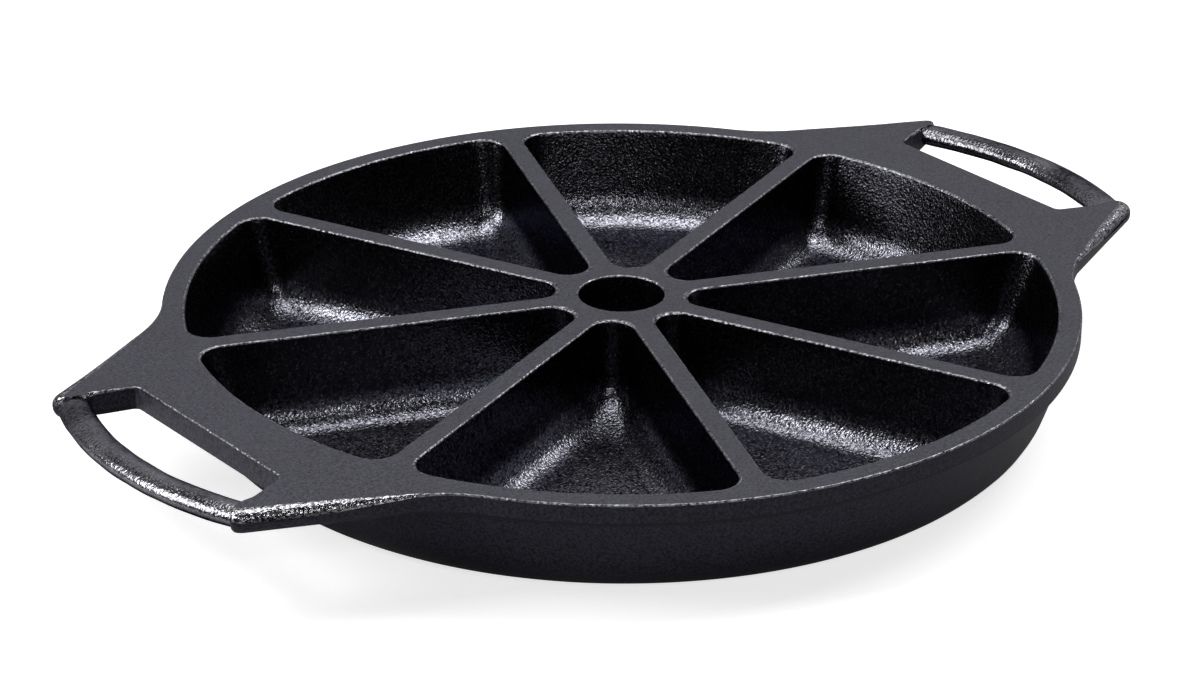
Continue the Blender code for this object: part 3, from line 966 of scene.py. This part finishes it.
@dataclass(frozen=True)
class IronFinish:
    """One finish of the seasoned iron, as a procedural Principled material, with painted shade by height
    where it has painted shades.
    """

    name: str
    dark: Colour
    light: Colour
    roughness: tuple[float, float]
    grain_height: float
    speckle: float
    speckle_share: float
    metallic: float = 1.0
    peel: float = 1300.0
    sand: float = 1800.0
    specular: float = 0.5
    edge_tint: Colour = (1.0, 1.0, 1.0)
    # painted shades by height: bands where the colour is darkened to stand in for shade
    painted_shades: tuple[PaintedShade, ...] = ()

    def material(self, grain: Tree, seasoning: Tree) -> Material:
        """Build the material: the coat's mask times the painted shades mixes the colours, the mask the
        roughness, the grain the bump.

        Args:
            grain: The cast_grain group.
            seasoning: The seasoning group.

        Returns:
            The material.
        """
        made, paper, shader = start_material(self.name)
        where = paper.place("ShaderNodeTexCoord").outputs["Object"]
        inputs = {"Place": where, "Speckle": self.speckle, "Speckle share": self.speckle_share}
        coat = paper.place("ShaderNodeGroup", inputs, node_tree=seasoning).outputs["Mask"]
        height = paper.place("ShaderNodeSeparateXYZ", {"Vector": where}).outputs["Z"]
        # painted shade: the coat's mask is lowered by height where the finish has painted shades
        share = coat
        for shade in self.painted_shades:
            share = paper.math("MULTIPLY", share, shade.share(paper, height))
        inputs = {"Place": where, "Peel": self.peel, "Sand": self.sand}
        skin = paper.place("ShaderNodeGroup", inputs, node_tree=grain).outputs["Height"]
        bump = paper.place("ShaderNodeBump", {"Distance": self.grain_height, "Height": skin})
        inputs = {
            "Base Color": paper.mix("RGBA", share, (*self.dark, 1.0), (*self.light, 1.0)),
            "Roughness": paper.remap(coat, 0.0, 1.0, self.roughness),
            "Metallic": self.metallic,
            "Specular IOR Level": self.specular,
            "Specular Tint": (*self.edge_tint, 1.0),
            "Normal": bump.outputs["Normal"],
        }
        paper.feed(shader, inputs)
        return made


@dataclass(frozen=True)
class IronFinishes:
    """The finishes of the pan: the casting's in the order of the zones, then the grips'."""

    ground_top: IronFinish = IronFinish(
        "ground_top", (0.001, 0.001, 0.004), (0.063, 0.063, 0.089), (0.46, 0.60), grain_height=0.00010,
        metallic=0.0, peel=1500.0, sand=2100.0, speckle=1350.0, speckle_share=0.92,
    )
    # The wells' painted shade: floors a little darker, and the walls above the fillets much darker.
    well: IronFinish = IronFinish(
        "glossy_well_painted_shade", (0.006, 0.006, 0.008), (0.46, 0.46, 0.53), (0.24, 0.28), grain_height=0.00018,
        peel=1500.0, sand=2100.0, speckle=1400.0, speckle_share=0.9, edge_tint=(0.30, 0.30, 0.34),
        painted_shades=(PaintedShade(0.0047, 0.0058, near_share=0.80), PaintedShade(0.0090, 0.0135, far_share=0.22)),
    )
    # The skin's painted shade: darker towards the foot and underside, and a dark line in the crease under
    # the flange.
    skin: IronFinish = IronFinish(
        "cast_skin_painted_shade", (0.002, 0.002, 0.004), (0.034, 0.034, 0.054), (0.45, 0.60), grain_height=0.00012,
        metallic=0.0, speckle=1400.0, speckle_share=0.9, specular=0.2,
        painted_shades=(PaintedShade(0.0, 0.0120, near_share=0.5), PaintedShade(0.0006, 0.0010, level=0.0245, near_share=0.35)),
    )
    edge: IronFinish = IronFinish(
        "worn_edge", (0.04, 0.04, 0.046), (0.46, 0.46, 0.50), (0.28, 0.36), grain_height=0.00030,
        speckle=1100.0, speckle_share=0.9, edge_tint=(0.30, 0.30, 0.33),
    )
    # The ears' painted shade: the lower part of their rounded top edge near black.
    ear: IronFinish = IronFinish(
        "worn_ear_painted_shade", (0.012, 0.012, 0.014), (0.70, 0.70, 0.74), (0.20, 0.26), grain_height=0.00028,
        peel=1200.0, sand=1700.0, speckle=1100.0, speckle_share=0.8, edge_tint=(0.25, 0.25, 0.28),
        painted_shades=(PaintedShade(0.0276, 0.0290, near_share=0.03),),
    )
    # The grips' painted shade: the underside near black, up to about the middle of the bar.
    grip: IronFinish = IronFinish(
        "oiled_grip", (0.02, 0.02, 0.022), (0.44, 0.44, 0.48), (0.21, 0.25), grain_height=0.00016,
        peel=1200.0, sand=1700.0, speckle=1300.0, speckle_share=0.35, edge_tint=(0.25, 0.25, 0.28),
        painted_shades=(PaintedShade(0.0022, 0.0038, level=0.0238, near_share=0.06),),
    )


@dataclass
class IronPiece:
    """A visible piece of the pan, once it is built."""

    bowl: Bowl
    piece: bpy.types.Object | None = field(default=None, init=False)

    def dress(self, *finishes: Material) -> None:
        """Give the piece its finishes, in the order of its zones' numbers."""
        for finish in finishes:
            self.piece.data.materials.append(finish)


@dataclass
class PanCasting(IronPiece):
    """The whole casting but the grips: wells, hub hollow, flange, skin and the flat faces between."""

    name: str = "pan_casting"

    def build(self) -> bpy.types.Object:
        """Join all surfaces into one closed mesh that stands for the CAD regions.

        Returns:
            The piece.
        """
        patches = Patchwork()
        wells = WedgeWell(self.bowl).build(patches)
        hollow = HubHollow(self.bowl).build(patches)
        top, below = Flange(self.bowl).build(patches)
        neck = BowlSkin(self.bowl).build(patches)
        patches.add_flat([top, hollow, *wells], Zone.GROUND_TOP, upward=True)
        patches.add_flat([below, neck], Zone.SKIN, upward=False)
        self.piece = patches.piece(self.name)
        regions = [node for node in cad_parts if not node.startswith("grip_")]
        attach(self.piece, "root")
        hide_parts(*regions)
        return self.piece


@dataclass
class Grip(IronPiece):
    """A bar of elliptical section carried along an arc from ear to ear."""

    side: Side
    width: float = 0.0089
    thickness: float = 0.0057
    drop: float = 0.0004
    full_tuck: float = 0.0008
    tuck: float = 0.0024
    dome_turn: float = 1.5
    dome_count: int = 7
    half_count: int = 75
    points_round: int = 64
    waves: MouldWaves = MouldWaves(seed=3, rms=0.00005, shortest=0.005, longest=0.022)
    lowered: float = 1.6

    def grid(self) -> Floats:
        """Closed rings along the bar.

        The section is an ellipse across the bar and in height, and its middle swings about the
        grip's centre. Past the ears' end walls it closes like a dome, hidden in the ear. The mould's
        swell is lowered and its crests are cut off, so that nothing stands proud of the ellipse.

        Returns:
            Points, shape (rings, points, 3).
        """
        flange = Flange(self.bowl)
        middle = flange.grip_middle[0]
        radius = flange.reach_end - self.width / 2.0 - middle
        closing = self.tuck - self.full_tuck
        straight = radius * flange.end_angle + self.full_tuck
        dome = straight + closing * np.sin(np.linspace(0.0, self.dome_turn, self.dome_count))
        half = np.concatenate([np.linspace(0.0, straight, self.half_count)[:-1], dome])
        run = np.concatenate([-half[:0:-1], half])[:, None]
        close = np.sqrt(1.0 - np.clip((np.abs(run) - straight) / closing, 0.0, 1.0) ** 2)
        turn = np.linspace(0.0, 2.0 * np.pi, self.points_round, endpoint=False)
        across = radius + self.width / 2.0 * np.cos(turn) * close
        height = self.bowl.height - self.drop - self.thickness / 2.0
        height = height + self.thickness / 2.0 * np.sin(turn) * close
        flat = [middle, 0.0] + across[..., None] * polar(-run / radius)
        points = lifted(flat, height)
        swell = self.waves.swell(points, self.side.value) - self.lowered * self.waves.rms
        points = points + grid_normals(points) * np.minimum(swell, 0.0)[..., None]
        return points * [self.side.value, self.side.value, 1.0]

    def build(self) -> bpy.types.Object:
        """Make the bar's mesh and let it stand for its CAD node.

        Returns:
            The piece.
        """
        label = self.side.name.lower()
        points = self.grid()
        patches = Patchwork()
        numbers = patches.add_points(points)
        patches.add_skin(numbers, Zone.GROUND_TOP)
        patches.add_pole(numbers[-1], points[-1].mean(axis=0), Zone.GROUND_TOP)
        patches.add_pole(numbers[0, ::-1], points[0].mean(axis=0), Zone.GROUND_TOP)
        self.piece = patches.piece(f"grip_bar_{label}")
        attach(self.piece, "root")
        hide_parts(f"grip_{label}")
        return self.piece


@dataclass(frozen=True)
class SoftPanel:
    """A rectangular area lamp that looks at a point."""

    name: str
    azimuth: float
    elevation: float
    distance: float
    width: float
    height: float
    radiance: float
    aim: Spot = (0.0, 0.0, 0.03)

    def build(self) -> bpy.types.Object:
        """Place the lamp at its bearing from the pan, facing its aim.

        Returns:
            The lamp.
        """
        lamp = bpy.data.lights.new(self.name, "AREA")
        lamp.shape = "RECTANGLE"
        lamp.size, lamp.size_y = self.width, self.height
        lamp.energy = self.radiance * math.pi * self.width * self.height
        around, up = math.radians(self.azimuth), math.radians(self.elevation)
        way = Vector((math.cos(around) * math.cos(up), math.sin(around) * math.cos(up), math.sin(up)))
        item = add_object(self.name, lamp)
        item.location = Vector(self.aim) + way * self.distance
        item.rotation_euler = way.to_track_quat("Z", "Y").to_euler()
        return item


@dataclass(frozen=True)
class Paper:
    """Pale matt paper that also glows to the camera, and by another strength to reflections."""

    name: str
    albedo: float
    glow: float
    mirrored: float
    roughness: float = 0.9
    specular: float = 0.1

    def material(self) -> Material:
        """Build the material: what a ray meets depends on whether it is a camera or a glossy ray.

        Returns:
            The material.
        """
        made, paper, shader = start_material(self.name)
        path = paper.place("ShaderNodeLightPath").outputs
        seen = paper.math("MULTIPLY", path["Is Camera Ray"], self.glow)
        glossy = paper.math("MULTIPLY", path["Is Glossy Ray"], self.mirrored)
        inputs = {"Emission Color": WHITE, "Emission Strength": paper.math("ADD", seen, glossy)}
        inputs |= {"Roughness": self.roughness, "Specular IOR Level": self.specular}
        paper.feed(shader, {"Base Color": (*[self.albedo] * 3, 1.0), **inputs})
        return made


@dataclass
class Studio:
    """Pale floor, pale backdrop, soft lamps and a world that is white only to the camera."""

    floor_half: float = 4.0
    floor_drop: float = 0.00005
    backdrop_distance: float = 2.2
    backdrop_height: float = 2.2
    back_azimuth: float = math.radians(50.8)
    floor_paper: Paper = Paper("floor_paper", albedo=0.72, glow=0.74, mirrored=0.05)
    backdrop_paper: Paper = Paper("backdrop_paper", albedo=0.8, glow=0.6, mirrored=0.45)
    dim: Colour = (0.003, 0.003, 0.004)
    panels: tuple[SoftPanel, ...] = (
        SoftPanel("overhead_softbox", 70.0, 75.0, distance=1.12, width=0.60, height=0.60, radiance=3.9),
        SoftPanel("left_panel", 149.0, 36.0, distance=1.5, width=0.60, height=1.00, radiance=6.6),
        SoftPanel("right_panel", -12.0, 54.0, distance=1.4, width=0.60, height=0.70, radiance=6.0),
        SoftPanel("front_lamp", 240.0, 35.0, distance=1.6, width=0.17, height=0.17, radiance=24.0),
    )

    def sheet(self, name: str, corners: list[Spot], paper: Paper) -> None:
        """Add one four-cornered stage surface.

        Args:
            name: Its name.
            corners: Its four corners, in order round it.
            paper: What it is made of.
        """
        mesh = bpy.data.meshes.new(name)
        mesh.from_pydata(corners, [], [(0, 1, 2, 3)])
        mesh.materials.append(paper.material())
        item = add_object(name, mesh)

    def world(self) -> None:
        """White to the camera, near black to everything else."""
        world = bpy.data.worlds.new("studio_world")
        bpy.context.scene.world = world
        world.use_nodes = True
        paper = NodePaper(world.node_tree)
        seen = paper.place("ShaderNodeLightPath").outputs["Is Camera Ray"]
        shade = paper.mix("RGBA", seen, (*self.dim, 1.0), WHITE)
        paper.feed(world.node_tree.nodes["Background"], {"Color": shade})

    def build(self) -> None:
        """Set up floor, backdrop, lamps, world and colour handling."""
        half, low, high = self.floor_half, -self.floor_drop, self.backdrop_height
        floor = [(-half, -half, low), (half, -half, low), (half, half, low), (-half, half, low)]
        self.sheet("studio_floor", floor, self.floor_paper)
        way = polar(self.back_azimuth)
        across = np.array([-way[1], way[0]])
        middle = way * self.backdrop_distance
        left, right = middle + across * half, middle - across * half
        wall = [(*left, low), (*right, low), (*right, high), (*left, high)]
        self.sheet("studio_backdrop", wall, self.backdrop_paper)
        for panel in self.panels:
            panel.build()
        self.world()
        bpy.context.scene.view_settings.view_transform = "Standard"


@dataclass(frozen=True)
class PhotoCamera:
    """The photograph's viewpoint, as a bearing, a distance and a small turn off the pan's middle."""

    azimuth: float = math.radians(-39.1867)
    elevation: float = math.radians(24.3848)
    roll: float = math.radians(0.1236)
    distance: float = 8.2445 * Bowl.rim_radius
    lens: float = 113.24
    sensor: float = 36.0
    aim_right: float = -0.00564
    aim_up: float = -0.01204
    target: Spot = (0.0, 0.0, Bowl.height)

    def build(self) -> bpy.types.Object:
        """Make the camera and make it the scene's own.

        It looks from its bearing at the target, turned a little right and up, and then rolls.

        Returns:
            The camera.
        """
        level, rise = math.cos(self.elevation), math.sin(self.elevation)
        back = Vector((math.sin(self.azimuth) * level, -math.cos(self.azimuth) * level, rise))
        right = (-back).cross(UP).normalized()
        aim = (-back + right * self.aim_right + right.cross(-back) * self.aim_up).normalized()
        right = aim.cross(UP).normalized()
        right = right * math.cos(self.roll) + right.cross(aim) * math.sin(self.roll)
        turn = Matrix((right, right.cross(aim), -aim)).transposed().to_4x4()
        data = bpy.data.cameras.new("photo_camera")
        data.sensor_width = self.sensor
        data.lens = self.lens
        item = add_object("photo_camera", data)
        item.matrix_world = Matrix.Translation(Vector(self.target) + back * self.distance) @ turn
        bpy.context.scene.camera = item
        return item


def main() -> None:
    """Build the pan, its finishes and the studio, and log the pieces' face counts."""
    logging.basicConfig(level=logging.INFO, format="%(message)s")
    bowl = Bowl()
    PhotoCamera().build()
    Studio().build()
    grain, seasoning = cast_grain_group(), seasoning_group()
    finishes = IronFinishes()
    casting = PanCasting(bowl)
    piece = casting.build()
    zones = (finishes.ground_top, finishes.well, finishes.skin, finishes.edge, finishes.ear)
    casting.dress(*(finish.material(grain, seasoning) for finish in zones))
    oiled = finishes.grip.material(grain, seasoning)
    log.info("%s: %d faces", piece.name, len(piece.data.polygons))
    for side in Side:
        grip = Grip(bowl, side)
        bar = grip.build()
        grip.dress(oiled)
        log.info("%s: %d faces", bar.name, len(bar.data.polygons))


if __name__ == "__main__":
    main()
